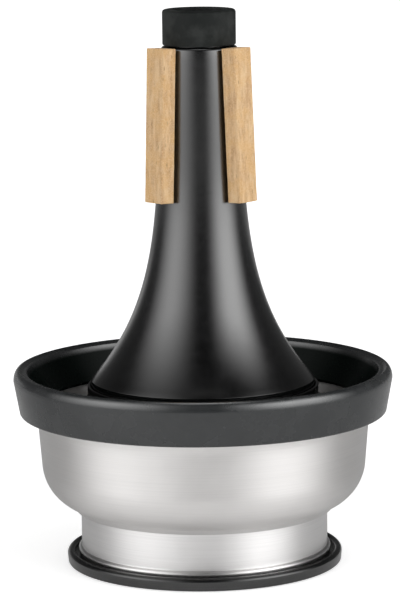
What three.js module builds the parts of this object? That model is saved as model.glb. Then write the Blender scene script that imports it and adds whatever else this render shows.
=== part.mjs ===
// Adjustable cup mute for a trumpet, standing on its foot, in millimetres with Z up.
//
// The stem is a black horn with cork strips, seated on a spun aluminium tube that ends in a rubber foot.
// The cup is a spun aluminium bowl with a rubber rim. A ribbed rubber sleeve, trapped in the neck of the
// bowl, grips the tube, so that the cup slides up and down on it and turns.
// The origin is on the axis, in the plane that the foot stands on.
// An outline is a list of [radius, height] points, anticlockwise, and is turned about the axis.

import * as THREE from 'three';

// Fits
const seatGap = 0.3; // between pieces that seat on each other
const runningGap = 0.3; // between the ribs of the sleeve and the tube

// Tube that the cup slides on
const tubeRadius = 39.2;
const tubeWall = 1.0;
const tubeShoulderHeight = 52;
const tubeCornerRadius = 2.2;
const tubeBeadRadius = 0.55;
const tubeBeadHeight = 4.5;
const spigotHeight = 4.2;

// Rubber foot, a ring with a bead round its top, a groove beside the tube and a lip under its end
const footReach = 4.6;
const footHeight = 4;
const footDraft = 0.2;
const footEdgeRadius = 0.4;
const footBeadRadius = 1.3;
const footGrooveDepth = 1.4;
const footLipThickness = 1.1;
const footLipReach = 3.4;

// End plate, a spun pan pressed into the tube
const plateWall = 0.9;
const plateSkirtHeight = 4;
const plateCornerRadius = 1.6;
const plateRimWidth = 4;
const plateRaise = 2.4;
const plateRaiseRun = 2.6;

// Horn, a cone that flares towards its foot: a straight skirt, the flare and a slim end
const hornTipRadius = 12;
const hornWall = 1.6;
const hornTaperShare = 0.036;
const hornSkirtHeight = 6.3;
const flareHeight = 98;
const slimHeight = 7.4;
const flarePower = 4.3;
const flareCrowding = 1.6; // above 1, closer rings towards the foot
const neckLength = 8.6;

// Band round the foot of the horn
const bandWall = 0.9;
const bandHeight = 4.6;
const bandEdge = 0.5;
const shoulderInset = 2.6;

// Rubber cap over the neck of the horn
const capRadius = 11.5;
const capWall = 1.6;
const capHeight = 11;
const capTopThickness = 2.2;
const capBoreRadius = 8;
const capEdgeRadius = 0.9;
const capMouldRadius = 0.4;

// Cork strips, flat strips glued along the cone
const corkLength = 48;
const corkWidth = 8.5;
const corkThickness = 5.2;
const corkEdgeRadius = 0.5;
const corkStrips = [
  { name: 'cork_strip_left', turn: -50.5, slant: -0.9 },
  { name: 'cork_strip_right', turn: 49.7, slant: 0 },
  { name: 'cork_strip_rear', turn: 181, slant: 0 },
]; // degrees round the horn from its front, and degrees of lean

// Cup, measured from the lowest edge of its bowl
const cupHeight = 17.2;
const bowlWall = 1.2;
const bowlHoleGap = 0.8;
const bowlLipWidth = 0.9;
const bowlLipRun = 1.1;
const bowlLipDrop = 1.6;
const bellyReach = 12.2;
const bellyCornerRadius = 14.6;
const wallLean = 4.6; // degrees outward
const wallHeight = 13.2;
const mouthHeight = 12.5;
const mouthReach = 3.2;
const mouthPower = 1.5;

// Rubber rim, a channel moulded over the mouth of the bowl, with a bead round the inner edge of its top
const rimReach = 3.4;
const rimTaper = 1.8;
const rimOuterDepth = 8.8;
const rimInnerDepth = 6.6;
const rimCrownRise = 5.2;
const rimShoulderReach = 1.9;
const rimShoulderHeight = 3.3;
const rimGrooveInset = 2.9;
const rimGrooveDepth = 0.8;
const rimBeadRadius = 0.5;
const rimBeadDrop = 0.6;
const rimTopWidth = 4.3;
const rimSkirtReach = 5.4;
const rimEdgeRadius = 0.8;

// Sleeve that grips the tube, and the collar that holds it in the neck of the bowl
const sleeveRibDepth = 0.6;
const sleeveWall = 2.2;
const sleeveHeight = 10.2;
const sleeveRibs = 3;
const sleeveRibShares = [0.1, 0.36, 0.64, 0.9]; // of a rib's pitch: root, crest, crest, root
const collarWall = 1;
const collarLipReach = 2.4;
const collarFlangeWidth = 2.9;

// Counts of flat faces
const wideFacets = 44;
const hornFacets = 40;
const capFacets = 32;

// Sizes that follow
const tubeBottom = footLipThickness + seatGap;
const tubeBore = tubeRadius - tubeWall;
const bandRadius = tubeRadius - shoulderInset;
const hornFootRadius = bandRadius - bandWall - seatGap;
const hornFootHeight = tubeShoulderHeight + seatGap;
const flareEndHeight = hornFootHeight + hornSkirtHeight;
const flareTopHeight = flareEndHeight + flareHeight;
const hornTopHeight = flareTopHeight + slimHeight;
const spigotRadius = hornFootRadius - hornWall - seatGap;
const neckRadius = capRadius - capWall - seatGap;
const bellyRadius = tubeRadius + bellyReach;
const bellyCentreRadius = bellyRadius - bellyCornerRadius;
const bowlHoleRadius = tubeRadius + bowlHoleGap;
const bowlArcStartRadius = bowlHoleRadius + bowlLipWidth + bowlLipRun;
const bellyCentreHeight = bowlLipDrop + arcDrop(bellyCornerRadius, bowlArcStartRadius);
const lean = THREE.MathUtils.degToRad(wallLean);
const wallBottomRadius = bellyCentreRadius + bellyCornerRadius * Math.cos(lean);
const wallBottomHeight = bellyCentreHeight - bellyCornerRadius * Math.sin(lean);
const wallTopHeight = wallBottomHeight + wallHeight;
const mouthTopHeight = wallTopHeight + mouthHeight;
const mouthRadius = bowlRadiusAt(mouthTopHeight);
const sleeveBore = tubeRadius + runningGap + sleeveRibDepth;
const sleeveRadius = sleeveBore + sleeveWall;
const sleeveTopHeight = floorHeight(sleeveRadius, bowlWall + seatGap) + sleeveHeight;

// How far below the centre of the bowl's round corner an arc about that centre lies at a radius.
function arcDrop(arcRadius, radius) {
  const outward = THREE.MathUtils.clamp(radius - bellyCentreRadius, 0, arcRadius);
  return Math.sqrt(arcRadius ** 2 - outward ** 2);
}

// Height in the cup of the round floor of the bowl, or of a surface so far inside it.
function floorHeight(radius, inset) {
  return bellyCentreHeight - arcDrop(bellyCornerRadius - inset, radius);
}

// Points along an arc, with angles in degrees, 0 outward and 90 upward.
function arc(centreRadius, centreHeight, radius, fromAngle, toAngle, steps) {
  const points = [];
  for (let i = 0; i <= steps; i += 1) {
    const angle = THREE.MathUtils.degToRad(THREE.MathUtils.lerp(fromAngle, toAngle, i / steps));
    points.push([centreRadius + radius * Math.cos(angle), centreHeight + radius * Math.sin(angle)]);
  }
  return points;
}

// Points of an outline between two heights, with the radius given by a function of the height. Their
// spacing is even, or closer towards the first height where the crowding is above 1.
function climb(fromHeight, toHeight, steps, radiusAt, crowding = 1) {
  const points = [];
  for (let i = 0; i <= steps; i += 1) {
    const height = THREE.MathUtils.lerp(fromHeight, toHeight, (i / steps) ** crowding);
    points.push([radiusAt(height), height]);
  }
  return points;
}

// Solid turned about the Z axis. A ring's outline closes on itself, a disc's starts and ends on the axis.
function turned(outline, facets, isRing = true) {
  const points = outline.map(([radius, height]) => new THREE.Vector2(radius, height));
  if (isRing) {
    points.push(points[0].clone());
  }
  return new THREE.LatheGeometry(points, facets).rotateX(Math.PI / 2);
}

function piece(name, geometry, color, roughness, metalness) {
  const material = new THREE.MeshStandardMaterial({ color, roughness, metalness });
  const mesh = new THREE.Mesh(geometry, material);
  mesh.name = name;
  return mesh;
}

const rubber = (name, geometry) => piece(name, geometry, 0x2b2c2c, 0.75, 0);
const aluminium = (name, geometry) => piece(name, geometry, 0xc6c5c2, 0.35, 1);
const cork = (name, geometry) => piece(name, geometry, 0xc9a273, 0.9, 0);
const gloss = (name, geometry) => piece(name, geometry, 0x141416, 0.2, 0);

// Outer radius of the horn: a slim cone and, below the start of the flare, a power curve.
function hornRadiusAt(height) {
  const cone = (level) => hornTipRadius + hornTaperShare * (hornTopHeight - level);
  const flareReach = hornFootRadius - cone(flareEndHeight);
  const flareShare = Math.max(0, 1 - (height - flareEndHeight) / flareHeight);
  return cone(height) + flareReach * flareShare ** flarePower;
}

// Horn, open at both ends, with a straight skirt at its foot and a stepped neck for the cap.
function hornShell() {
  const neckFloor = hornTopHeight - hornWall;
  const insideRadiusAt = (height) => hornRadiusAt(height) - hornWall;
  return gloss('horn_shell', turned([
    [hornFootRadius - hornWall, hornFootHeight],
    [hornFootRadius, hornFootHeight],
    ...climb(flareEndHeight, flareTopHeight, 11, hornRadiusAt, flareCrowding),
    [hornTipRadius, hornTopHeight],
    [neckRadius, hornTopHeight],
    [neckRadius, hornTopHeight + neckLength],
    [neckRadius - hornWall, hornTopHeight + neckLength],
    [neckRadius - hornWall, neckFloor],
    [insideRadiusAt(neckFloor), neckFloor],
    ...climb(flareEndHeight, flareTopHeight, 7, insideRadiusAt, flareCrowding).reverse(),
  ], hornFacets));
}

// Band round the skirt of the horn, standing on the shoulder of the tube.
function hornBand() {
  const top = hornFootHeight + bandHeight;
  return rubber('horn_foot_band', turned([
    [bandRadius - bandWall, hornFootHeight],
    [bandRadius, hornFootHeight],
    ...arc(bandRadius - bandEdge, top - bandEdge, bandEdge, 0, 90, 3),
    [bandRadius - bandWall, top],
  ], hornFacets));
}

// Cap, a thimble with a hole in its top, pushed over the neck of the horn.
function tipCap() {
  const bottom = hornTopHeight + seatGap;
  const top = bottom + capHeight;
  const ceiling = top - capTopThickness;
  return rubber('tip_cap', turned([
    [capRadius - capWall, bottom],
    ...arc(capRadius - capMouldRadius, bottom + capMouldRadius, capMouldRadius, -90, 0, 2),
    ...arc(capRadius - capEdgeRadius, top - capEdgeRadius, capEdgeRadius, 0, 90, 3),
    ...arc(capBoreRadius + capMouldRadius, top - capMouldRadius, capMouldRadius, 90, 180, 2),
    [capBoreRadius, ceiling],
    [capRadius - capWall, ceiling],
  ], capFacets));
}

// Rectangle with round corners, centred on the origin.
function roundedRectangle(width, depth, radius) {
  const [x, y] = [width / 2 - radius, depth / 2 - radius];
  const shape = new THREE.Shape();
  shape.absarc(x, y, radius, 0, Math.PI / 2);
  shape.absarc(-x, y, radius, Math.PI / 2, Math.PI);
  shape.absarc(-x, -y, radius, Math.PI, 1.5 * Math.PI);
  shape.absarc(x, -y, radius, 1.5 * Math.PI, 2 * Math.PI);
  return shape;
}

// Cork strip: its flat inner face lies along the cone, from just under the cap down to the flare.
function corkStrip({ name, turn, slant }) {
  const bottomRadius = hornRadiusAt(hornTopHeight - corkLength);
  const tilt = Math.atan((bottomRadius - hornTipRadius) / corkLength);
  const middleRadius = (bottomRadius + hornTipRadius) / 2 + seatGap + corkThickness / 2;
  const outline = roundedRectangle(corkWidth, corkThickness, corkEdgeRadius);
  const geometry = new THREE.ExtrudeGeometry(outline, {
    depth: corkLength * Math.cos(tilt),
    bevelEnabled: false,
    curveSegments: 3,
  });
  geometry.center();
  geometry.rotateY(THREE.MathUtils.degToRad(slant));
  geometry.rotateX(-tilt);
  const strip = cork(name, geometry);
  strip.position.set(0, -middleRadius, hornTopHeight - corkLength / 2);
  const place = new THREE.Group();
  place.rotation.z = THREE.MathUtils.degToRad(turn);
  place.add(strip);
  return place;
}

// Tube, with a bead above the foot, a round shoulder, and a spigot that fits inside the foot of the horn.
function slideTube() {
  const cornerRadius = tubeRadius - tubeCornerRadius;
  const cornerHeight = tubeShoulderHeight - tubeCornerRadius;
  return aluminium('slide_tube', turned([
    [tubeBore, tubeBottom],
    [tubeRadius, tubeBottom],
    ...arc(tubeRadius, tubeBeadHeight, tubeBeadRadius, -90, 90, 4),
    ...arc(cornerRadius, cornerHeight, tubeCornerRadius, 0, 90, 4),
    [spigotRadius, tubeShoulderHeight],
    [spigotRadius, tubeShoulderHeight + spigotHeight],
    [spigotRadius - tubeWall, tubeShoulderHeight + spigotHeight],
    [spigotRadius - tubeWall, tubeShoulderHeight - tubeWall],
    ...arc(cornerRadius, cornerHeight, tubeCornerRadius - tubeWall, 90, 0, 3),
  ], wideFacets));
}

// End plate, a pan whose skirt fits inside the tube and whose middle is raised clear of the surface.
function endPlate() {
  const skirtRadius = tubeBore - seatGap;
  const top = tubeBottom + plateSkirtHeight;
  const raisedRadius = skirtRadius - plateCornerRadius - plateRimWidth - plateRaiseRun;
  const corner = skirtRadius - plateCornerRadius;
  const cornerHeight = tubeBottom + plateCornerRadius;
  return aluminium('end_plate', turned([
    [0, tubeBottom + plateRaise],
    [raisedRadius, tubeBottom + plateRaise],
    [raisedRadius + plateRaiseRun, tubeBottom],
    ...arc(corner, cornerHeight, plateCornerRadius, -90, 0, 2),
    [skirtRadius, top],
    [skirtRadius - plateWall, top],
    ...arc(corner, cornerHeight, plateCornerRadius - plateWall, 0, -90, 1),
    [raisedRadius + plateRaiseRun, tubeBottom + plateWall],
    [raisedRadius, tubeBottom + plateRaise + plateWall],
    [0, tubeBottom + plateRaise + plateWall],
  ], wideFacets, false));
}

// Rubber foot: the end of the tube stands in it, on its inner lip.
function footRing() {
  const outerRadius = tubeRadius + footReach;
  const bottomEdge = outerRadius - footDraft - footEdgeRadius;
  const beadCentre = outerRadius - footBeadRadius;
  const grooveHeight = footHeight - footGrooveDepth;
  return rubber('foot_ring', turned([
    [tubeRadius - footLipReach, 0],
    ...arc(bottomEdge, footEdgeRadius, footEdgeRadius, -90, 0, 2),
    ...arc(beadCentre, footHeight - footBeadRadius, footBeadRadius, 0, 180, 6),
    [beadCentre - footBeadRadius, grooveHeight],
    [tubeRadius + seatGap, grooveHeight],
    [tubeRadius + seatGap, footLipThickness],
    [tubeRadius - footLipReach, footLipThickness],
  ], wideFacets));
}

// Radius of the outside of the bowl above its round corner: a leaning wall, then a flared mouth.
function bowlRadiusAt(height) {
  const mouthShare = Math.max(0, height - wallTopHeight) / mouthHeight;
  const wallRadius = wallBottomRadius + (height - wallBottomHeight) * Math.tan(lean);
  return wallRadius + mouthReach * mouthShare ** mouthPower;
}

// Bowl, one spun sheet from the hole in its floor to the flared mouth.
function cupBowl() {
  const startOutward = Math.max(0, bowlArcStartRadius - bellyCentreRadius);
  const startAngle = THREE.MathUtils.radToDeg(Math.asin(startOutward / bellyCornerRadius)) - 90;
  const innerCorner = bellyCornerRadius - bowlWall;
  const innerOutward = Math.max(0, bowlHoleRadius + bowlLipWidth - bellyCentreRadius);
  const innerAngle = THREE.MathUtils.radToDeg(Math.asin(innerOutward / innerCorner)) - 90;
  const inside = (height) => bowlRadiusAt(height) - bowlWall;
  return aluminium('cup_bowl', turned([
    [bowlHoleRadius, 0],
    [bowlHoleRadius + bowlLipWidth, 0],
    ...arc(bellyCentreRadius, bellyCentreHeight, bellyCornerRadius, startAngle, -wallLean, 8),
    ...climb(wallTopHeight, mouthTopHeight, 4, bowlRadiusAt),
    ...climb(mouthTopHeight, wallTopHeight, 4, inside),
    ...arc(bellyCentreRadius, bellyCentreHeight, innerCorner, -wallLean, innerAngle, 5),
    [bowlHoleRadius, floorHeight(bowlHoleRadius, bowlWall)],
  ], wideFacets));
}

// Rim, a rubber channel over the mouth of the bowl, with a tapered outside, a round shoulder, a top that
// dips to a bead at its inner edge, and an inner skirt.
function rimTrim() {
  const grooveTop = mouthTopHeight + seatGap;
  const widest = mouthRadius + rimReach;
  const outerBottom = mouthTopHeight - rimOuterDepth;
  const innerBottom = mouthTopHeight - rimInnerDepth;
  const crownHeight = mouthTopHeight + rimCrownRise;
  const shoulder = arc(0, 0, 1, 0, 90, 5).map(([across, up]) => [
    widest - rimShoulderReach * (1 - across),
    crownHeight - rimShoulderHeight * (1 - up),
  ]);
  const topRadius = widest - rimTopWidth;
  const beadHeight = crownHeight - rimBeadDrop - rimBeadRadius;
  const skirtRadius = topRadius - rimSkirtReach;
  const outerWall = (height) => bowlRadiusAt(height) + seatGap;
  const innerWall = (height) => bowlRadiusAt(height) - bowlWall - seatGap;
  return rubber('rim_trim', turned([
    [outerWall(outerBottom), outerBottom],
    ...arc(widest - rimTaper - rimEdgeRadius, outerBottom + rimEdgeRadius, rimEdgeRadius, -90, -10, 3),
    ...shoulder,
    [widest - rimGrooveInset, crownHeight - rimGrooveDepth],
    ...arc(topRadius + rimBeadRadius, beadHeight, rimBeadRadius, 90, 180, 2),
    [skirtRadius, innerBottom + rimEdgeRadius],
    [skirtRadius + rimEdgeRadius / 2, innerBottom],
    [innerWall(innerBottom), innerBottom],
    ...climb(innerBottom, mouthTopHeight, 2, innerWall).slice(1),
    [innerWall(mouthTopHeight), grooveTop],
    [outerWall(mouthTopHeight), grooveTop],
    ...climb(mouthTopHeight, outerBottom, 2, outerWall).slice(0, -1),
  ], wideFacets));
}

// Sleeve: a rubber ring on the floor of the bowl, with ribs inside that bear on the tube.
function gripSleeve() {
  const bottom = floorHeight(sleeveRadius, bowlWall + seatGap);
  const pitch = (sleeveTopHeight - bottom) / sleeveRibs;
  const ribs = [];
  for (let i = 0; i < sleeveRibs; i += 1) {
    const ribTop = sleeveTopHeight - i * pitch;
    const [root, crest, crestEnd, rootEnd] = sleeveRibShares.map((share) => ribTop - share * pitch);
    ribs.push([sleeveBore, root]);
    ribs.push([sleeveBore - sleeveRibDepth, crest]);
    ribs.push([sleeveBore - sleeveRibDepth, crestEnd]);
    ribs.push([sleeveBore, rootEnd]);
  }
  return rubber('grip_sleeve', turned([
    [sleeveBore, bottom],
    [sleeveRadius, bottom],
    [sleeveRadius, sleeveTopHeight],
    [sleeveBore, sleeveTopHeight],
    ...ribs,
  ], wideFacets));
}

// Collar: a ring fixed to the floor of the bowl, with an in-turned lip that keeps the sleeve in.
function neckCollar() {
  const bore = sleeveRadius + seatGap;
  const radius = bore + collarWall;
  const lipBottom = sleeveTopHeight + seatGap;
  const lipTop = lipBottom + collarWall;
  const flangeRadius = radius + collarFlangeWidth;
  const under = bowlWall + seatGap;
  const over = under + collarWall;
  return aluminium('neck_collar', turned([
    [bore, floorHeight(bore, under)],
    [radius, floorHeight(radius, under)],
    [(radius + flangeRadius) / 2, floorHeight((radius + flangeRadius) / 2, under)],
    [flangeRadius, floorHeight(flangeRadius, under)],
    [flangeRadius - collarWall / 2, floorHeight(flangeRadius - collarWall / 2, over)],
    [radius, floorHeight(radius, over)],
    [radius, lipTop],
    [bore - collarLipReach, lipTop],
    [bore - collarLipReach, lipBottom],
    [bore, lipBottom],
  ], wideFacets));
}

const stem = new THREE.Group();
stem.add(hornShell(), hornBand(), tipCap(), slideTube(), endPlate(), footRing());
for (const strip of corkStrips) {
  stem.add(corkStrip(strip));
}

const cup = new THREE.Group();
cup.add(cupBowl(), rimTrim(), neckCollar(), gripSleeve());
cup.position.z = cupHeight;

const mute = new THREE.Group();
mute.add(stem, cup);

export default mute;
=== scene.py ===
"""Adjustable cup mute for a trumpet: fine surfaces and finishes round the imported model.

Lengths are written in millimetres and turned into metres where a mesh is made. The mute is turned
about the Z axis, so most pieces are an outline of (radius, height) points, anticlockwise, spun
round it.
"""

import math

import bmesh
import bpy
from mathutils import Matrix, Vector, noise


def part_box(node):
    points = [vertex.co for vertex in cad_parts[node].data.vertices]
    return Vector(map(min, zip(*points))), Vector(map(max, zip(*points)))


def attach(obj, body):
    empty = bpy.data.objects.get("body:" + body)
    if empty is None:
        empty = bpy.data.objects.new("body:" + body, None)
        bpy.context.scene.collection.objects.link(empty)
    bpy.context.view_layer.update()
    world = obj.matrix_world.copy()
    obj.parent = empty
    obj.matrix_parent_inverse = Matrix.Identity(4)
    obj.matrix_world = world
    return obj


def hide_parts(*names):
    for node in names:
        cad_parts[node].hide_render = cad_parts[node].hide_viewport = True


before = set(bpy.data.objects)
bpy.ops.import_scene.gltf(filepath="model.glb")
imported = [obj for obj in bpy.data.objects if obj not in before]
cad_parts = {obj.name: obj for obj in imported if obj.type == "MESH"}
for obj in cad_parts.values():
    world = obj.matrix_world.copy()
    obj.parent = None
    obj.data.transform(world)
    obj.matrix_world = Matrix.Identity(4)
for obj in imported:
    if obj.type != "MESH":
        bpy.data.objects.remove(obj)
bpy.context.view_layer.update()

MM = 0.001

# Meshes: segments of a turned piece; the angle in degrees between faces above which an edge is
# sharp, and the one between an outline's sides above which a point belongs to a curve; the share
# of a side that a round corner may take; the radius in millimetres that counts as on the axis; and
# the distance in metres within which points are merged
SEGMENTS = 160
SHARP_ANGLE = 38
CURVE_ANGLE = 155
FILLET_REACH = 0.45
ON_AXIS = 1e-6
MERGE_DISTANCE = 1e-7

# Fits and walls
SEAT_GAP = 0.3
TUBE_WALL = 1.0
BOWL_WALL = 1.2
HORN_WALL = 1.6

# Tube
TUBE_RADIUS = 39.2
TUBE_CORNER = 2.2
TUBE_BEAD = 1.0
TUBE_BEAD_HEIGHT = 4.3
SPIGOT_RADIUS = 33.5

# Foot, end plate and band
FOOT_DRAFT = 0.2
FOOT_EDGE = 0.4
FOOT_BEAD = 1.3
FOOT_GROOVE = 1.4
FOOT_LIP = 1.1
FOOT_LIP_REACH = 3.4
PLATE_WALL = 0.9
PLATE_CORNER = 1.6
PLATE_RIM = 4
PLATE_RAISE = 2.4
PLATE_RAISE_RUN = 2.6
PLATE_STEPS = 8
BAND_WALL = 0.9

# Horn and cap
HORN_TIP_RADIUS = 12
HORN_TAPER = 0.036
HORN_SKIRT = 6.3
FLARE_HEIGHT = 98
FLARE_POWER = 4.3
HORN_SHOULDER = 1.2
NECK_RADIUS = 9.6
CAP_WALL = 1.6
CAP_TOP = 2.2
CAP_BORE = 8
CAP_EDGE = 0.9

# Cork strips: turn round the horn from its front and lean, in degrees
CORK_LENGTH = 48
CORK_WIDTH = 8.5
CORK_THICKNESS = 5.2
CORK_EDGE = 0.5
CORKS = {
    "cork_strip_left": (-50.5, -0.9),
    "cork_strip_right": (49.7, 0),
    "cork_strip_rear": (181, 0),
}
# Rings of a strip's mesh: along its sides, and over each end; how far the outermost full ring is
# from the end; and the sizes of the ring round the end's edge and of the smallest one
CORK_RINGS = 96
CORK_END_RINGS = 6
CORK_END_INSET = 0.25
CORK_END_SHARE = 0.955
CORK_MIDDLE_SHARE = 0.02
# Roughness of the cut faces: waves and open pores, all cut below the strip's plain faces
CORK_SEED_STEP = 17.3
CORK_STRETCH = 0.5
CORK_WAVE_SCALE = 0.9
CORK_WAVE_HEIGHT = 0.05
CORK_PORE_SCALE = 0.4
CORK_PORE_SIZE = 0.14
CORK_PORE_DEPTH = 0.16
CORK_CUT = 0.06

# Bowl
HOLE_GAP = 0.8
LIP_WIDTH = 0.9
LIP_RUN = 1.1
LIP_DROP = 1.6
BELLY_REACH = 12.2
BELLY_CORNER = 14.6
WALL_LEAN = 4.6
WALL_HEIGHT = 13.2
MOUTH_HEIGHT = 12.5
MOUTH_REACH = 3.2
MOUTH_POWER = 1.5

# Rim
RIM_TAPER = 1.8
RIM_INNER_DEPTH = 6.6
RIM_SHOULDER_REACH = 1.9
RIM_SHOULDER_HEIGHT = 3.3
RIM_GROOVE_INSET = 2.9
RIM_GROOVE_DEPTH = 0.8
RIM_BEAD = 0.5
RIM_BEAD_DROP = 0.6
RIM_TOP_WIDTH = 4.3
RIM_SKIRT_REACH = 5.4
RIM_EDGE = 0.8

# Sleeve and collar
SLEEVE_WALL = 2.2
SLEEVE_RIBS = 3
RIB_DEPTH = 0.6
RIB_STEPS = 12
COLLAR_WALL = 1
COLLAR_LIP_REACH = 2.4
COLLAR_FLANGE = 2.9

# Colours that a finish turns to, or is made of
# Painted shade: near black for the inside of the rim
PAINTED_SHADE_BLACK = (0.0022, 0.005, 0.0038)
# Painted shade: a darker metal where the bowl faces up inside
PAINTED_SHADE_METAL = (0.45, 0.443, 0.437)
GLOSS_CLEAN = (0.001, 0.0011, 0.0012)
GLOSS_SCUFFED = (0.003, 0.003, 0.0034)
CORK_BROWN = (0.56, 0.32, 0.155)
CORK_TAN = (0.83, 0.58, 0.33)
CORK_AMBER = (0.74, 0.44, 0.18)
CORK_PALE = (0.88, 0.65, 0.4)
CORK_PORE = (0.3, 0.15, 0.06)


def extent(node):
    """Outer radius, lowest and highest height of a turned node, in millimetres."""
    low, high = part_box(node)
    return high.x / MM, low.z / MM, high.z / MM


def evenly(start, end, steps):
    """Even steps from start to end, with both ends."""
    return [start + (end - start) * i / steps for i in range(steps + 1)]


def arc(centre, radius, start, end, steps):
    """Points of an arc about a centre; angles in degrees, 0 outward and 90 upward."""
    angles = [math.radians(angle) for angle in evenly(start, end, steps)]
    return [(centre[0] + radius * math.cos(a), centre[1] + radius * math.sin(a)) for a in angles]


def climb(low, high, steps, radius_at):
    """Points at even heights, with the radius given by a function of the height."""
    return [(radius_at(height), height) for height in evenly(low, high, steps)]


def fillet(outline, radius, steps=4):
    """The closed outline with its real corners rounded, and the points of its curves left alone."""
    points = [Vector(p) for p in outline]
    rounded = []
    for i, corner in enumerate(points):
        back = points[i - 1] - corner
        ahead = points[(i + 1) % len(points)] - corner
        angle = back.angle(ahead)
        if corner.x < ON_AXIS or math.degrees(angle) > CURVE_ANGLE:
            rounded.append(corner)
            continue
        longest = FILLET_REACH * min(back.length, ahead.length)
        reach = min(radius / math.tan(angle / 2), longest)
        start = corner + back.normalized() * reach
        end = corner + ahead.normalized() * reach
        for s in range(steps + 1):
            t = s / steps
            rounded.append(start * (1 - t) ** 2 + corner * 2 * t * (1 - t) + end * t**2)
    return [tuple(p) for p in rounded]


def add_object(name, data):
    """An object for some data, in the scene."""
    made = bpy.data.objects.new(name, data)
    bpy.context.scene.collection.objects.link(made)
    return made


def smooth_object(name, mesh, sharp_angle=SHARP_ANGLE):
    """An object for a mesh, with smooth faces and sharp edges only at real corners."""
    mesh.update()
    mesh.shade_smooth()
    mesh.set_sharp_from_angle(angle=math.radians(sharp_angle))
    return add_object(name, mesh)


def spin(name, outline, is_ring=True):
    """A solid of the outline spun about the Z axis; if it is no ring, its ends are on the axis."""
    count = len(outline)
    last = count if is_ring else count - 1
    vertices = []
    for i in range(SEGMENTS):
        angle = 2 * math.pi * i / SEGMENTS
        side, front = math.cos(angle), math.sin(angle)
        vertices += [(r * side * MM, r * front * MM, z * MM) for r, z in outline]
    faces = []
    for i in range(SEGMENTS):
        this, following = i * count, (i + 1) % SEGMENTS * count
        for j in range(last):
            k = (j + 1) % count
            faces.append((this + j, following + j, following + k, this + k))
    mesh = bpy.data.meshes.new(name)
    mesh.from_pydata(vertices, [], faces)
    shape = bmesh.new()
    shape.from_mesh(mesh)
    bmesh.ops.remove_doubles(shape, verts=shape.verts, dist=MERGE_DISTANCE)
    bmesh.ops.recalc_face_normals(shape, faces=shape.faces)
    shape.to_mesh(mesh)
    shape.free()
    return smooth_object(name, mesh)


def dress(piece, node, body, material):
    """Lets a fine piece stand for its node, with a finish, on its body."""
    piece.data.materials.append(material)
    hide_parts(node)
    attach(piece, body)


# Materials


class Nodes:
    """Short ways to add nodes to a node tree."""

    def __init__(self, tree):
        self.tree = tree

    def node(self, kind, **values):
        made = self.tree.nodes.new(kind)
        for key, value in values.items():
            setattr(made, key, value)
        return made

    def link(self, source, target):
        self.tree.links.new(source, target)

    def put(self, socket, value):
        """A number or a colour on a socket, or a link to it."""
        if isinstance(value, bpy.types.NodeSocket):
            self.link(value, socket)
        else:
            socket.default_value = (*value, 1) if isinstance(value, tuple) else value

    def math(self, operation, first, second=0):
        made = self.node("ShaderNodeMath", operation=operation)
        self.put(made.inputs[0], first)
        self.put(made.inputs[1], second)
        return made.outputs[0]

    def vector(self, operation, first, second=None):
        """A vector operation; the second vector is written out."""
        made = self.node("ShaderNodeVectorMath", operation=operation)
        self.link(first, made.inputs[0])
        if second is not None:
            made.inputs[1].default_value = second
        return made.outputs["Value" if operation == "LENGTH" else "Vector"]

    def part(self, source, axis):
        """One coordinate of a vector."""
        made = self.node("ShaderNodeSeparateXYZ")
        self.link(source, made.inputs[0])
        return made.outputs[axis]

    def facing_up(self):
        """The upward part of the surface's normal, from -1 to 1."""
        return self.part(self.node("ShaderNodeNewGeometry").outputs["Normal"], "Z")

    def place(self):
        """Place on the object in millimetres."""
        coordinates = self.node("ShaderNodeTexCoord").outputs["Object"]
        return self.vector("MULTIPLY", coordinates, (1 / MM,) * 3)

    def turned_place(self, swirl, across):
        """Place for marks left by turning: long round the axis, fine across it."""
        place = self.place()
        flat = self.vector("MULTIPLY", place, (1, 1, 0))
        unit = self.vector("NORMALIZE", flat)
        along = self.math("ADD", self.vector("LENGTH", flat), self.part(place, "Z"))
        joined = self.node("ShaderNodeCombineXYZ")
        self.link(self.math("MULTIPLY", self.part(unit, "X"), swirl), joined.inputs["X"])
        self.link(self.math("MULTIPLY", self.part(unit, "Y"), swirl), joined.inputs["Y"])
        self.link(self.math("MULTIPLY", along, across), joined.inputs["Z"])
        return joined.outputs[0]

    def noise(self, place, scale, detail=3, roughness=0.55):
        made = self.node("ShaderNodeTexNoise")
        self.link(place, made.inputs["Vector"])
        made.inputs["Scale"].default_value = scale
        made.inputs["Detail"].default_value = detail
        made.inputs["Roughness"].default_value = roughness
        return made.outputs["Fac"]

    def cells(self, place, scale):
        """Distance from the middle of the nearest cell."""
        made = self.node("ShaderNodeTexVoronoi")
        self.link(place, made.inputs["Vector"])
        made.inputs["Scale"].default_value = scale
        return made.outputs["Distance"]

    def spread(self, source, low, high, new_low=0, new_high=1, smooth=False):
        """The source's stretch from low to high, mapped to another, with soft ends if smooth."""
        kind = "SMOOTHSTEP" if smooth else "LINEAR"
        made = self.node("ShaderNodeMapRange", interpolation_type=kind)
        self.link(source, made.inputs["Value"])
        made.inputs["From Min"].default_value = low
        made.inputs["From Max"].default_value = high
        made.inputs["To Min"].default_value = new_low
        made.inputs["To Max"].default_value = new_high
        return made.outputs["Result"]

    def blend(self, factor, first, second):
        """A mix of two colours; 0 is the first."""
        made = self.node("ShaderNodeMix", data_type="RGBA")
        self.link(factor, made.inputs[0])
        self.put(made.inputs[6], first)
        self.put(made.inputs[7], second)
        return made.outputs[2]

    def bump(self, height, distance_mm, strength=1):
        made = self.node("ShaderNodeBump")
        self.link(height, made.inputs["Height"])
        made.inputs["Distance"].default_value = distance_mm * MM
        made.inputs["Strength"].default_value = strength
        return made.outputs["Normal"]


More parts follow.
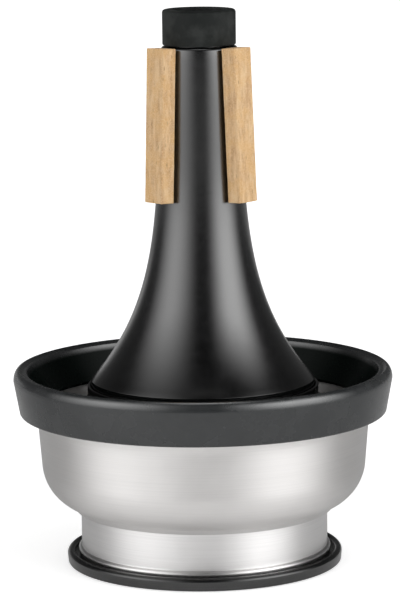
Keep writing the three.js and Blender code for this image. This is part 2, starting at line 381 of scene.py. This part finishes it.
class Finish(Nodes):
    """A material under construction, with its Principled shader."""

    def __init__(self, name):
        self.material = bpy.data.materials.new(name)
        self.material.use_nodes = True
        super().__init__(self.material.node_tree)
        self.shader = self.tree.nodes["Principled BSDF"]

    def set(self, **values):
        """The shader's own sockets, by their names with underscores for spaces."""
        for key, value in values.items():
            self.put(self.shader.inputs[key.replace("_", " ")], value)


def spun_aluminium(name, light, dark, smoothest, roughest, line_depth):
    """Spun aluminium: fine turning lines round the axis, broader bands, a haze, and painted shade.

    The painted shade is a darker colour where it faces up, which is the bowl's inside, other than
    low down, where that is only the tube's bead.
    """
    finish = Finish(name)
    fine = finish.noise(finish.turned_place(swirl=1.2, across=3.2), 1, detail=2, roughness=0.7)
    broad = finish.noise(finish.turned_place(swirl=0.6, across=0.35), 1, detail=2)
    haze = finish.noise(finish.place(), 0.06, detail=4)
    tone = finish.math(
        "ADD",
        finish.math("MULTIPLY", fine, 0.8),
        finish.math("MULTIPLY", broad, 0.2),
    )
    lined = finish.blend(finish.spread(tone, 0.3, 0.7), dark, light)
    # Painted shade: a darker colour where the surface faces up, above the tube's bead
    upward = finish.spread(finish.facing_up(), 0.03, 0.2)
    raised = finish.spread(finish.part(finish.place(), "Z"), 10, 14)
    inside = finish.math("MULTIPLY", upward, raised)
    roughness = finish.math(
        "ADD",
        finish.spread(tone, 0.3, 0.7, smoothest, roughest),
        finish.spread(haze, 0.4, 0.7, 0, 0.05),
    )
    finish.set(
        Base_Color=finish.blend(inside, lined, PAINTED_SHADE_METAL),
        Metallic=1.0,
        Roughness=roughness,
        Anisotropic=0.8,
        Anisotropic_Rotation=0.25,
        Normal=finish.bump(fine, line_depth),
    )
    tangent = finish.node("ShaderNodeTangent", direction_type="RADIAL", axis="Z")
    finish.link(tangent.outputs[0], finish.shader.inputs["Tangent"])
    return finish.material


def gloss_black(name):
    """Moulded gloss black: faint unevenness, and fine scuffs that dull the gloss."""
    finish = Finish(name)
    waves = finish.noise(finish.place(), 0.08, detail=2)
    scuffs = finish.noise(finish.turned_place(swirl=5, across=0.8), 1.5, detail=5, roughness=0.7)
    scuffed = finish.spread(scuffs, 0.45, 0.75)
    finish.set(
        Base_Color=finish.blend(scuffed, GLOSS_CLEAN, GLOSS_SCUFFED),
        Roughness=finish.spread(scuffs, 0.35, 0.75, 0.2, 0.26),
        IOR=1.9,
        Coat_Weight=0.6,
        Coat_Roughness=0.16,
        Normal=finish.bump(waves, 0.05),
    )
    return finish.material


def black_rubber(name, dark, light, roughness, grain, gloss=1.5, blotch=0.17, inside=None):
    """Moulded rubber: mottled tone and a fine pebbled grain.

    With an inside radius it is painted shade within it: near black and almost without reflection.
    Outside it, it reflects more where it faces up, a painted highlight on the shoulder.
    """
    finish = Finish(name)
    place = finish.place()
    bloom = finish.noise(place, 0.12, detail=4)
    pebble = finish.noise(place, grain)
    tone = finish.blend(finish.spread(bloom, 0.52 - blotch, 0.52 + blotch), dark, light)
    if inside:
        radius = finish.vector("LENGTH", finish.vector("MULTIPLY", place, (1, 1, 0)))
        outer = finish.spread(radius, inside, inside + 1, smooth=True)
        # Painted shade: near black, and almost no reflection, within the inside radius
        tone = finish.blend(outer, PAINTED_SHADE_BLACK, tone)
        reflection_outside_painted_shade = finish.spread(outer, 0, 1, 0.04, 1)
        # Painted highlight: stronger reflection where it faces up, on the shoulder
        painted_highlight_level = finish.spread(finish.facing_up(), 0.08, 0.45, 0.28, 0.95)
        finish.set(Specular_IOR_Level=finish.math("MULTIPLY", reflection_outside_painted_shade, painted_highlight_level))
    finish.set(
        Base_Color=tone,
        Roughness=finish.spread(bloom, 0.3, 0.7, roughness - 0.04, roughness + 0.06),
        IOR=gloss,
        Normal=finish.bump(pebble, 0.05, strength=0.5),
    )
    return finish.material


def natural_cork(name):
    """Cut cork: soft streaks and mottles along the strip, fine granules, and a few dark pores."""
    finish = Finish(name)
    place = finish.place()
    streaky = finish.vector("MULTIPLY", place, (1, 1, 0.2))
    streaks = finish.noise(streaky, 0.7, detail=4, roughness=0.6)
    mottles = finish.noise(place, 0.22)
    grains = finish.noise(place, 2.6, detail=5, roughness=0.7)
    pores = finish.cells(finish.vector("MULTIPLY", place, (1, 1, 0.45)), 0.42)
    tone = finish.blend(finish.spread(streaks, 0.36, 0.64), CORK_BROWN, CORK_TAN)
    tone = finish.blend(finish.spread(mottles, 0.42, 0.62, 0, 0.7), tone, CORK_AMBER)
    tone = finish.blend(finish.spread(grains, 0.42, 0.7, 0, 0.8), tone, CORK_PALE)
    tone = finish.blend(finish.spread(pores, 0.04, 0.16, 0.5, 0), tone, CORK_PORE)
    finish.set(
        Base_Color=tone,
        Roughness=finish.spread(grains, 0.3, 0.7, 0.82, 0.95),
        Specular_IOR_Level=0.25,
        Normal=finish.bump(grains, 0.25, strength=0.6),
    )
    return finish.material


BOWL_METAL = spun_aluminium(
    "bowl_aluminium",
    light=(0.75, 0.735, 0.725),
    dark=(0.69, 0.677, 0.667),
    smoothest=0.38,
    roughest=0.44,
    line_depth=0.006,
)
TUBE_METAL = spun_aluminium(
    "tube_aluminium",
    light=(0.83, 0.82, 0.815),
    dark=(0.74, 0.73, 0.725),
    smoothest=0.28,
    roughest=0.36,
    line_depth=0.012,
)
HORN_BLACK = gloss_black("horn_gloss")
CAP_RUBBER = black_rubber(
    "rubber_cap",
    dark=(0.003, 0.0045, 0.004),
    light=(0.02, 0.022, 0.021),
    roughness=0.7,
    grain=1.6,
    gloss=1.4,
    blotch=0.08,
)
# Painted shade inside a radius of 54.8 mm, and a painted highlight where it faces up outside it
RIM_RUBBER = black_rubber(
    "rubber_rim",
    dark=(0.018, 0.020, 0.021),
    light=(0.027, 0.029, 0.030),
    roughness=0.25,
    grain=1.4,
    gloss=1.75,
    inside=54.8,
)
FOOT_RUBBER = black_rubber(
    "rubber_foot",
    dark=(0.003, 0.0032, 0.0032),
    light=(0.006, 0.0064, 0.0064),
    roughness=0.18,
    grain=1.4,
    gloss=1.75,
)
BAND_RUBBER = black_rubber(
    "rubber_band",
    dark=(0.002, 0.002, 0.002),
    light=(0.004, 0.004, 0.004),
    roughness=0.3,
    grain=1.4,
)
SLEEVE_RUBBER = black_rubber(
    "rubber_sleeve",
    dark=(0.016, 0.016, 0.016),
    light=(0.026, 0.026, 0.026),
    roughness=0.65,
    grain=1.6,
)
CORK = natural_cork("cork")


# Horn, band and cap

HORN_FOOT_RADIUS, HORN_FOOT, NECK_TOP = extent("horn_shell")
CAP_RADIUS, CAP_BOTTOM, CAP_HEIGHT = extent("tip_cap")
HORN_TOP = CAP_BOTTOM - SEAT_GAP
FLARE_END = HORN_FOOT + HORN_SKIRT


def horn_radius(height):
    """Outer radius of the horn: a slim cone with a power curve below the start of the flare."""
    reach = HORN_FOOT_RADIUS - HORN_TIP_RADIUS - HORN_TAPER * (HORN_TOP - FLARE_END)
    share = max(0, 1 - (height - FLARE_END) / FLARE_HEIGHT)
    return HORN_TIP_RADIUS + HORN_TAPER * (HORN_TOP - height) + reach * share**FLARE_POWER


def horn_bore(height):
    """Inner radius of the horn."""
    return horn_radius(height) - HORN_WALL


def make_horn():
    """Flared shell with a round shoulder and a neck for the cap."""
    shoulder = HORN_TOP - HORN_SHOULDER
    neck_floor = HORN_TOP - HORN_WALL
    outline = [
        (HORN_FOOT_RADIUS - HORN_WALL, HORN_FOOT),
        (HORN_FOOT_RADIUS, HORN_FOOT),
        *climb(FLARE_END, shoulder, 70, horn_radius)[:-1],
        *arc((HORN_TIP_RADIUS - HORN_SHOULDER, shoulder), HORN_SHOULDER, 0, 90, 8),
        (NECK_RADIUS, HORN_TOP),
        (NECK_RADIUS, NECK_TOP),
        (NECK_RADIUS - HORN_WALL, NECK_TOP),
        (NECK_RADIUS - HORN_WALL, neck_floor),
        *climb(neck_floor, FLARE_END, 40, horn_bore),
    ]
    piece = spin("fine_horn", fillet(outline, radius=0.12))
    dress(piece, "horn_shell", "stem", HORN_BLACK)


def make_band():
    """Rubber band round the foot of the horn."""
    radius, bottom, top = extent("horn_foot_band")
    outline = [
        (radius - BAND_WALL, bottom),
        (radius, bottom),
        (radius, top),
        (radius - BAND_WALL, top),
    ]
    piece = spin("fine_band", fillet(outline, radius=0.5, steps=6))
    dress(piece, "horn_foot_band", "stem", BAND_RUBBER)


def make_cap():
    """Rubber thimble with a hole in its top."""
    ceiling = CAP_HEIGHT - CAP_TOP
    outline = [
        (CAP_RADIUS - CAP_WALL, CAP_BOTTOM),
        (CAP_RADIUS, CAP_BOTTOM),
        *arc((CAP_RADIUS - CAP_EDGE, CAP_HEIGHT - CAP_EDGE), CAP_EDGE, 0, 90, 10),
        (CAP_BORE, CAP_HEIGHT),
        (CAP_BORE, ceiling),
        (CAP_RADIUS - CAP_WALL, ceiling),
    ]
    piece = spin("fine_cap", fillet(outline, radius=0.45))
    dress(piece, "tip_cap", "stem", CAP_RUBBER)


# Cork strips


def rounded_rectangle(width, depth, radius, steps):
    """Points of a rectangle with round corners, so many to the millimetre along its sides."""
    x, y = width / 2 - radius, depth / 2 - radius
    centres = [(x, y), (-x, y), (-x, -y), (x, -y)]
    corners = [arc(centre, radius, 90 * i, 90 * i + 90, 4) for i, centre in enumerate(centres)]
    points = []
    for i, corner in enumerate(corners):
        points += corner
        start, end = Vector(corner[-1]), Vector(corners[(i + 1) % 4][0])
        count = max(2, round((end - start).length * steps))
        points += [tuple(start.lerp(end, s / count)) for s in range(1, count)]
    return points


def cork_relief(point, seed):
    """Height of the cut cork at a point: a fine waviness, less its open pores."""
    at = Vector((point.x, point.y, point.z * CORK_STRETCH)) + Vector((seed, 0, 0))
    wave = noise.fractal(at * CORK_WAVE_SCALE, 1.0, 2.0, 3) * CORK_WAVE_HEIGHT
    pore = noise.voronoi(at * CORK_PORE_SCALE)[0][0]
    return wave - CORK_PORE_DEPTH * max(0, 1 - pore / CORK_PORE_SIZE)


def cork_rings(length):
    """Size share and height of each ring: out from the lower end's middle, up, and in again."""
    low, high = -length / 2, length / 2
    closing = [max(s / CORK_END_RINGS, CORK_MIDDLE_SHARE) for s in range(CORK_END_RINGS)]
    closing.append(CORK_END_SHARE)
    sides = evenly(low + CORK_END_INSET, high - CORK_END_INSET, CORK_RINGS)
    rings = [(share, low) for share in closing]
    rings += [(1, height) for height in sides]
    rings += [(share, high) for share in reversed(closing)]
    return rings


def make_cork(name, turn, lean, seed):
    """Cork strip: rings of a rounded rectangle, roughened, and leant against the horn."""
    outline = rounded_rectangle(CORK_WIDTH, CORK_THICKNESS, CORK_EDGE, 2)
    foot_radius = horn_radius(HORN_TOP - CORK_LENGTH)
    tilt = math.atan((foot_radius - HORN_TIP_RADIUS) / CORK_LENGTH)
    shape = bmesh.new()
    loops = []
    for share, height in cork_rings(CORK_LENGTH * math.cos(tilt)):
        loops.append([shape.verts.new((x * share, y * share, height)) for x, y in outline])
    for lower, upper in zip(loops, loops[1:]):
        for i in range(len(outline)):
            k = (i + 1) % len(outline)
            shape.faces.new((lower[i], lower[k], upper[k], upper[i]))
    shape.faces.new(list(reversed(loops[0])))
    shape.faces.new(loops[-1])
    bmesh.ops.recalc_face_normals(shape, faces=shape.faces)
    shape.normal_update()
    moves = []
    for vertex in shape.verts:
        depth = min(0, cork_relief(vertex.co, seed) - CORK_CUT)
        moves.append((vertex, vertex.normal * depth))
    for vertex, move in moves:
        vertex.co += move
    middle = (foot_radius + HORN_TIP_RADIUS) / 2 + SEAT_GAP + CORK_THICKNESS / 2
    place = (
        Matrix.Rotation(math.radians(turn), 4, "Z")
        @ Matrix.Translation((0, -middle, HORN_TOP - CORK_LENGTH / 2))
        @ Matrix.Rotation(-tilt, 4, "X")
        @ Matrix.Rotation(math.radians(lean), 4, "Y")
    )
    shape.transform(Matrix.Scale(MM, 4) @ place)
    mesh = bpy.data.meshes.new("fine_" + name)
    shape.to_mesh(mesh)
    shape.free()
    piece = smooth_object("fine_" + name, mesh, sharp_angle=60)
    dress(piece, name, "stem", CORK)


# Tube, end plate and foot


def make_tube():
    """Straight tube with a bead above the foot, a round shoulder and a spigot into the horn."""
    _, bottom, top = extent("slide_tube")
    shoulder = HORN_FOOT - SEAT_GAP
    corner = (TUBE_RADIUS - TUBE_CORNER, shoulder - TUBE_CORNER)
    heights = evenly(TUBE_BEAD_HEIGHT + 2 * TUBE_BEAD, shoulder - TUBE_CORNER, 12)
    outline = [
        (TUBE_RADIUS - TUBE_WALL, bottom),
        (TUBE_RADIUS, bottom),
        *arc((TUBE_RADIUS, TUBE_BEAD_HEIGHT), TUBE_BEAD, -90, 90, 10),
        *[(TUBE_RADIUS, height) for height in heights[:-1]],
        *arc(corner, TUBE_CORNER, 0, 90, 10),
        (SPIGOT_RADIUS, shoulder),
        (SPIGOT_RADIUS, top),
        (SPIGOT_RADIUS - TUBE_WALL, top),
        (SPIGOT_RADIUS - TUBE_WALL, shoulder - TUBE_WALL),
        *arc(corner, TUBE_CORNER - TUBE_WALL, 90, 0, 8),
    ]
    piece = spin("fine_tube", fillet(outline, radius=0.3))
    dress(piece, "slide_tube", "stem", TUBE_METAL)


def make_end_plate():
    """Spun pan in the lower end of the tube, with its middle raised on a soft slope."""
    radius, bottom, top = extent("end_plate")
    raised = radius - PLATE_CORNER - PLATE_RIM - PLATE_RAISE_RUN
    corner = (radius - PLATE_CORNER, bottom + PLATE_CORNER)
    slope = []
    for s in range(PLATE_STEPS + 1):
        share = 1 - s / PLATE_STEPS
        rise = PLATE_RAISE * share * share * (3 - 2 * share)
        slope.append((raised + PLATE_RAISE_RUN * (1 - share), bottom + rise))
    outline = [
        (0, bottom + PLATE_RAISE),
        *slope,
        *arc(corner, PLATE_CORNER, -90, 0, 8),
        (radius, top),
        (radius - PLATE_WALL, top),
        *arc(corner, PLATE_CORNER - PLATE_WALL, 0, -90, 6),
        *[(r, z + PLATE_WALL) for r, z in reversed(slope)],
        (0, bottom + PLATE_RAISE + PLATE_WALL),
    ]
    piece = spin("fine_end_plate", fillet(outline, radius=0.25), is_ring=False)
    dress(piece, "end_plate", "stem", TUBE_METAL)


def make_foot():
    """Rubber ring with a bead round its top, a groove beside the tube and a lip under its end."""
    radius, bottom, top = extent("foot_ring")
    edge = (radius - FOOT_DRAFT - FOOT_EDGE, bottom + FOOT_EDGE)
    bead = (radius - FOOT_BEAD, top - FOOT_BEAD)
    groove = top - FOOT_GROOVE
    outline = [
        (TUBE_RADIUS - FOOT_LIP_REACH, bottom),
        *arc(edge, FOOT_EDGE, -90, 0, 6),
        *arc(bead, FOOT_BEAD, 0, 180, 20),
        (radius - 2 * FOOT_BEAD, groove),
        (TUBE_RADIUS + SEAT_GAP, groove),
        (TUBE_RADIUS + SEAT_GAP, bottom + FOOT_LIP),
        (TUBE_RADIUS - FOOT_LIP_REACH, bottom + FOOT_LIP),
    ]
    piece = spin("fine_foot", fillet(outline, radius=0.2))
    dress(piece, "foot_ring", "stem", FOOT_RUBBER)


# Cup: bowl, rim, sleeve and collar

_, CUP, MOUTH = extent("cup_bowl")
BELLY_RADIUS = TUBE_RADIUS + BELLY_REACH
BELLY_CENTRE = BELLY_RADIUS - BELLY_CORNER
HOLE_RADIUS = TUBE_RADIUS + HOLE_GAP
LIP_RADIUS = HOLE_RADIUS + LIP_WIDTH
ARC_START = LIP_RADIUS + LIP_RUN
ARC_DROP = math.sqrt(BELLY_CORNER**2 - (ARC_START - BELLY_CENTRE) ** 2)
BELLY_HEIGHT = CUP + LIP_DROP + ARC_DROP
LEAN = math.radians(WALL_LEAN)
WALL_BOTTOM = BELLY_HEIGHT - BELLY_CORNER * math.sin(LEAN)
WALL_TOP = WALL_BOTTOM + WALL_HEIGHT


def floor_height(radius, inset):
    """Height of the bowl's round floor, or of a surface so far inside it."""
    return BELLY_HEIGHT - math.sqrt((BELLY_CORNER - inset) ** 2 - (radius - BELLY_CENTRE) ** 2)


def bowl_radius(height):
    """Outside of the bowl above its round corner: a leaning wall, then a flared mouth."""
    wall = BELLY_CENTRE + BELLY_CORNER * math.cos(LEAN) + (height - WALL_BOTTOM) * math.tan(LEAN)
    return wall + MOUTH_REACH * (max(0, height - WALL_TOP) / MOUTH_HEIGHT) ** MOUTH_POWER


def beside_bowl(offset):
    """Radius of a surface so far outside the bowl's wall, as a function of the height."""
    return lambda height: bowl_radius(height) + offset


def make_bowl():
    """One spun sheet from the lip of the hole in its floor to its flared mouth."""
    centre = (BELLY_CENTRE, BELLY_HEIGHT)
    inner = BELLY_CORNER - BOWL_WALL
    start = math.degrees(math.asin((ARC_START - BELLY_CENTRE) / BELLY_CORNER)) - 90
    inner_start = math.degrees(math.asin((LIP_RADIUS - BELLY_CENTRE) / inner)) - 90
    inside = beside_bowl(-BOWL_WALL)
    outline = [
        (HOLE_RADIUS, CUP),
        (LIP_RADIUS, CUP),
        *arc(centre, BELLY_CORNER, start, -WALL_LEAN, 28),
        *climb(WALL_BOTTOM, WALL_TOP, 8, bowl_radius)[1:-1],
        *climb(WALL_TOP, MOUTH, 18, bowl_radius),
        *climb(MOUTH, WALL_TOP, 18, inside),
        *climb(WALL_TOP, WALL_BOTTOM, 8, inside)[1:-1],
        *arc(centre, inner, -WALL_LEAN, inner_start, 22),
        (HOLE_RADIUS, floor_height(HOLE_RADIUS, BOWL_WALL)),
    ]
    piece = spin("fine_bowl", fillet(outline, radius=0.4))
    dress(piece, "cup_bowl", "cup", BOWL_METAL)


def make_rim():
    """Rubber channel over the mouth: round shoulder, groove, bead at its inner edge, and skirt."""
    widest, outer_bottom, crown = extent("rim_trim")
    inner_bottom = MOUTH - RIM_INNER_DEPTH
    top_radius = widest - RIM_TOP_WIDTH
    skirt = top_radius - RIM_SKIRT_REACH
    edge = (widest - RIM_TAPER - RIM_EDGE, outer_bottom + RIM_EDGE)
    shoulder = [
        (widest - RIM_SHOULDER_REACH * (1 - across), crown - RIM_SHOULDER_HEIGHT * (1 - up))
        for across, up in arc((0, 0), 1, 0, 90, 16)
    ]
    bead = (top_radius + RIM_BEAD, crown - RIM_BEAD_DROP - RIM_BEAD)
    outside = beside_bowl(SEAT_GAP)
    inside = beside_bowl(-BOWL_WALL - SEAT_GAP)
    outline = [
        (outside(outer_bottom), outer_bottom),
        *arc(edge, RIM_EDGE, -90, -10, 8),
        *shoulder,
        (widest - RIM_GROOVE_INSET, crown - RIM_GROOVE_DEPTH),
        *arc(bead, RIM_BEAD, 90, 180, 8),
        (skirt, inner_bottom + RIM_EDGE),
        (skirt + RIM_EDGE / 2, inner_bottom),
        *climb(inner_bottom, MOUTH, 8, inside),
        (inside(MOUTH), MOUTH + SEAT_GAP),
        (outside(MOUTH), MOUTH + SEAT_GAP),
        *climb(MOUTH, outer_bottom, 8, outside)[:-1],
    ]
    piece = spin("fine_rim", fillet(outline, radius=0.4, steps=6))
    dress(piece, "rim_trim", "cup", RIM_RUBBER)


def make_sleeve():
    """Rubber ring with soft ribs inside, which bear on the tube."""
    radius, bottom, top = extent("grip_sleeve")
    bore = radius - SLEEVE_WALL
    pitch = (top - bottom) / SLEEVE_RIBS
    ribs = []
    for s in range(1, RIB_STEPS * SLEEVE_RIBS):
        turn = s / RIB_STEPS
        ribs.append((bore - RIB_DEPTH * math.sin(math.pi * turn) ** 2, top - pitch * turn))
    outline = [(bore, bottom), (radius, bottom), (radius, top), (bore, top), *ribs]
    piece = spin("fine_sleeve", fillet(outline, radius=0.3))
    dress(piece, "grip_sleeve", "grip", SLEEVE_RUBBER)


def make_collar():
    """Ring with a flange on the bowl's round floor and a lip turned in over the sleeve."""
    flange, _, top = extent("neck_collar")
    radius = flange - COLLAR_FLANGE
    bore = radius - COLLAR_WALL
    under = BOWL_WALL + SEAT_GAP
    over = under + COLLAR_WALL
    outline = [
        *[(r, floor_height(r, under)) for r in evenly(bore, flange, 8)],
        *[(r, floor_height(r, over)) for r in evenly(flange - COLLAR_WALL / 2, radius, 6)],
        (radius, top),
        (bore - COLLAR_LIP_REACH, top),
        (bore - COLLAR_LIP_REACH, top - COLLAR_WALL),
        (bore, top - COLLAR_WALL),
    ]
    piece = spin("fine_collar", fillet(outline, radius=0.3))
    dress(piece, "neck_collar", "cup", BOWL_METAL)


# Camera, floor and light

# Metres for the distance and height, degrees, and millimetres of the lens and its picture
CAMERA_DISTANCE = 1.0
CAMERA_HEIGHT = 0.25
CAMERA_PITCH = 9.4
CAMERA_ROLL = 0.65
CAMERA_YAW = 0.036
LENS = 194.5
PICTURE_WIDTH = 36

BACKGROUND_RAYS = ("Is Camera Ray", "Is Glossy Ray", "Is Transmission Ray")

# The floor, in metres, turns from its near glow to its far glow between two distances in
# millimetres. In reflections only its front glows, less on the right, and fades out far away.
FLOOR_SIZE = 4
FLOOR_DROP = 0.0002
FLOOR_COLOUR = (0.8, 0.8, 0.8)
NEAR_GLOW = 0.6
FAR_GLOW = 0.95
GLOW_DISTANCES = (150, 900)
FRONT_GLOW_LEFT = 0.7
FRONT_GLOW_RIGHT = 0.35
FRONT_GLOW_SIDES = (-150, 150)
FRONT_GLOW_DEPTHS = (-120, 20)
FRONT_GLOW_DISTANCES = (500, 1100)

# The tent, in metres and degrees of height: dim at the floor, dark higher up, bright on top
TENT_RADIUS = 3
TENT_ROWS = 24
TENT_SIDES = 48
TENT_DIM = 0.09
TENT_DARK = 0.01
TENT_DARK_FROM = 50
TENT_CROWN = 1.8
TENT_CROWN_FROM = 70
TENT_CROWN_FULL = 88
TENT_FADE_POWER = 1.5
# Each glow: side, where it starts to rise, is full, starts to fall and ends, in degrees round from
# the front, the heights in degrees where it starts to fade and ends, and its level
TENT_GLOWS = (
    (-1, 5, 60, 62, 112, 28, 76, 2.0),
    (1, 11, 54, 64, 106, 31, 60, 2.95),
    (-1, 125, 155, 190, 200, 0, 12, 0.6),
)

# Height in metres that the lamps are aimed at
AIM_HEIGHT = 0.09
# Each lamp: degrees round from the front, distance, height, width and length in metres, radiance
SOFTBOXES = {
    "softbox_left": (-58, 0.95, 0.42, 1.15, 0.85, 1.6),
    "softbox_right": (60, 0.95, 0.42, 1.15, 0.85, 2.3),
    "softbox_top": (180, 0.2, 1.3, 1.0, 1.0, 1.0),
}

# Strength of the world for all but the background
WORLD_LEVEL = 0.25


def make_camera():
    """Long lens about a metre in front of the mute and a little above it, slightly rolled."""
    data = bpy.data.cameras.new("camera")
    data.lens = LENS
    data.sensor_width = PICTURE_WIDTH
    camera = add_object("camera", data)
    camera.matrix_world = (
        Matrix.Translation((0, -CAMERA_DISTANCE, CAMERA_HEIGHT))
        @ Matrix.Rotation(math.radians(CAMERA_YAW), 4, "Z")
        @ Matrix.Rotation(math.radians(90 - CAMERA_PITCH), 4, "X")
        @ Matrix.Rotation(math.radians(-CAMERA_ROLL), 4, "Z")
    )
    bpy.context.scene.camera = camera


def show_to(nodes, *kinds):
    """1 for rays of these kinds, and 0 for others."""
    path = nodes.node("ShaderNodeLightPath")
    seen = path.outputs[kinds[0]]
    for kind in kinds[1:]:
        seen = nodes.math("MAXIMUM", seen, path.outputs[kind])
    return seen


def make_floor():
    """A wide pale floor that keeps the mute's shadow and turns white away from it."""
    mesh = bpy.data.meshes.new("floor")
    corners = [(-1, -1), (1, -1), (1, 1), (-1, 1)]
    vertices = [(x * FLOOR_SIZE, y * FLOOR_SIZE, -FLOOR_DROP) for x, y in corners]
    mesh.from_pydata(vertices, [], [(0, 1, 2, 3)])
    floor = add_object("floor", mesh)
    finish = Finish("floor")
    place = finish.place()
    distance = finish.vector("LENGTH", place)
    glow = finish.spread(distance, *GLOW_DISTANCES, NEAR_GLOW, FAR_GLOW)
    seen = finish.math("MULTIPLY", show_to(finish, "Is Camera Ray"), glow)
    level = finish.spread(
        finish.part(place, "X"), *FRONT_GLOW_SIDES, FRONT_GLOW_LEFT, FRONT_GLOW_RIGHT
    )
    front = finish.spread(finish.part(place, "Y"), *FRONT_GLOW_DEPTHS, 1, 0)
    near = finish.spread(distance, *FRONT_GLOW_DISTANCES, 1, 0)
    bounced = finish.math("MULTIPLY", finish.math("MULTIPLY", level, front), near)
    reflected = show_to(finish, "Is Glossy Ray", "Is Transmission Ray")
    mirrored = finish.math("MULTIPLY", reflected, bounced)
    finish.set(
        Base_Color=FLOOR_COLOUR,
        Roughness=0.9,
        Specular_IOR_Level=0.0,
        Emission_Color=(1.0, 1.0, 1.0),
        Emission_Strength=finish.math("ADD", seen, mirrored),
    )
    mesh.materials.append(finish.material)


def tent_mesh():
    """A dome of level rows of points, closed by one face on top."""
    rows = [math.radians(90 * i / TENT_ROWS) for i in range(TENT_ROWS)]
    turns = [math.radians(360 * i / TENT_SIDES) for i in range(TENT_SIDES)]
    vertices = [
        (
            TENT_RADIUS * math.cos(row) * math.cos(turn),
            TENT_RADIUS * math.cos(row) * math.sin(turn),
            TENT_RADIUS * math.sin(row) - FLOOR_DROP,
        )
        for row in rows
        for turn in turns
    ]
    faces = []
    for row in range(TENT_ROWS - 1):
        for i in range(TENT_SIDES):
            low = row * TENT_SIDES + i
            next_low = row * TENT_SIDES + (i + 1) % TENT_SIDES
            faces.append((low, next_low, next_low + TENT_SIDES, low + TENT_SIDES))
    faces.append(tuple(range((TENT_ROWS - 1) * TENT_SIDES, TENT_ROWS * TENT_SIDES)))
    mesh = bpy.data.meshes.new("tent")
    mesh.from_pydata(vertices, [], faces)
    return mesh


def make_tent():
    """A dome of cloth round the floor, seen only in reflections: dim, with broad soft glows."""
    mesh = tent_mesh()
    tent = add_object("tent", mesh)
    for kind in ("camera", "diffuse", "shadow", "transmission", "volume_scatter"):
        setattr(tent, "visible_" + kind, False)
    finish = Finish("tent")
    way = finish.vector("NORMALIZE", finish.place())
    backward = finish.math("MULTIPLY", finish.part(way, "Y"), -1)
    turn = finish.math("ARCTAN2", finish.part(way, "X"), backward)
    rise = finish.math("ARCSINE", finish.part(way, "Z"))
    level = finish.spread(rise, 0, math.radians(TENT_DARK_FROM), TENT_DIM, TENT_DARK)
    crown_ends = (math.radians(TENT_CROWN_FROM), math.radians(TENT_CROWN_FULL))
    crown = finish.spread(rise, *crown_ends, 0, TENT_CROWN, smooth=True)
    level = finish.math("ADD", level, crown)
    for side, *angles, strength in TENT_GLOWS:
        start, full, falling, end, fading, top = map(math.radians, angles)
        round_from_front = finish.math("MULTIPLY", turn, side)
        inner = finish.spread(round_from_front, start, full, smooth=True)
        outer = finish.spread(round_from_front, falling, end, 1, 0, smooth=True)
        fade = finish.math("POWER", finish.spread(rise, fading, top, 1, 0), TENT_FADE_POWER)
        glow = finish.math("MULTIPLY", finish.math("MULTIPLY", inner, outer), fade)
        level = finish.math("ADD", level, finish.math("MULTIPLY", glow, strength))
    finish.set(
        Base_Color=(0.0, 0.0, 0.0),
        Specular_IOR_Level=0.0,
        Emission_Color=(1.0, 1.0, 1.0),
        Emission_Strength=level,
    )
    mesh.materials.append(finish.material)


def make_softbox(name, azimuth, distance, height, width, length, radiance):
    """A soft rectangular lamp round the mute, aimed at its middle; azimuth 0 is in front.

    It lights matt surfaces, and the tent's glows stand for it in reflections.
    """
    data = bpy.data.lights.new(name, "AREA")
    data.shape = "RECTANGLE"
    data.size = width
    data.size_y = length
    data.energy = radiance * math.pi * width * length
    lamp = add_object(name, data)
    angle = math.radians(azimuth)
    lamp.location = (distance * math.sin(angle), -distance * math.cos(angle), height)
    aim = Vector((0, 0, AIM_HEIGHT)) - lamp.location
    lamp.rotation_euler = aim.to_track_quat("-Z", "Y").to_euler()
    lamp.visible_glossy = False


def make_world():
    """White where the mute has nothing behind it, and a soft grey level for everything else."""
    world = bpy.data.worlds.new("studio")
    bpy.context.scene.world = world
    world.use_nodes = True
    nodes = Nodes(world.node_tree)
    background = nodes.tree.nodes["Background"]
    background.inputs["Color"].default_value = (1, 1, 1, 1)
    strength = nodes.spread(show_to(nodes, *BACKGROUND_RAYS), 0, 1, WORLD_LEVEL, 1)
    nodes.link(strength, background.inputs["Strength"])


def make_studio():
    """Camera, floor, world, tent and lamps."""
    make_camera()
    make_floor()
    make_world()
    make_tent()
    for name, values in SOFTBOXES.items():
        make_softbox(name, *values)
    bpy.context.scene.view_settings.view_transform = "Standard"


make_studio()
make_horn()
make_band()
make_cap()
for cork_number, (cork_name, (cork_turn, cork_lean)) in enumerate(CORKS.items()):
    make_cork(cork_name, cork_turn, cork_lean, CORK_SEED_STEP * cork_number)
make_tube()
make_end_plate()
make_foot()
make_bowl()
make_rim()
make_sleeve()
make_collar()

bpy.context.view_layer.update()
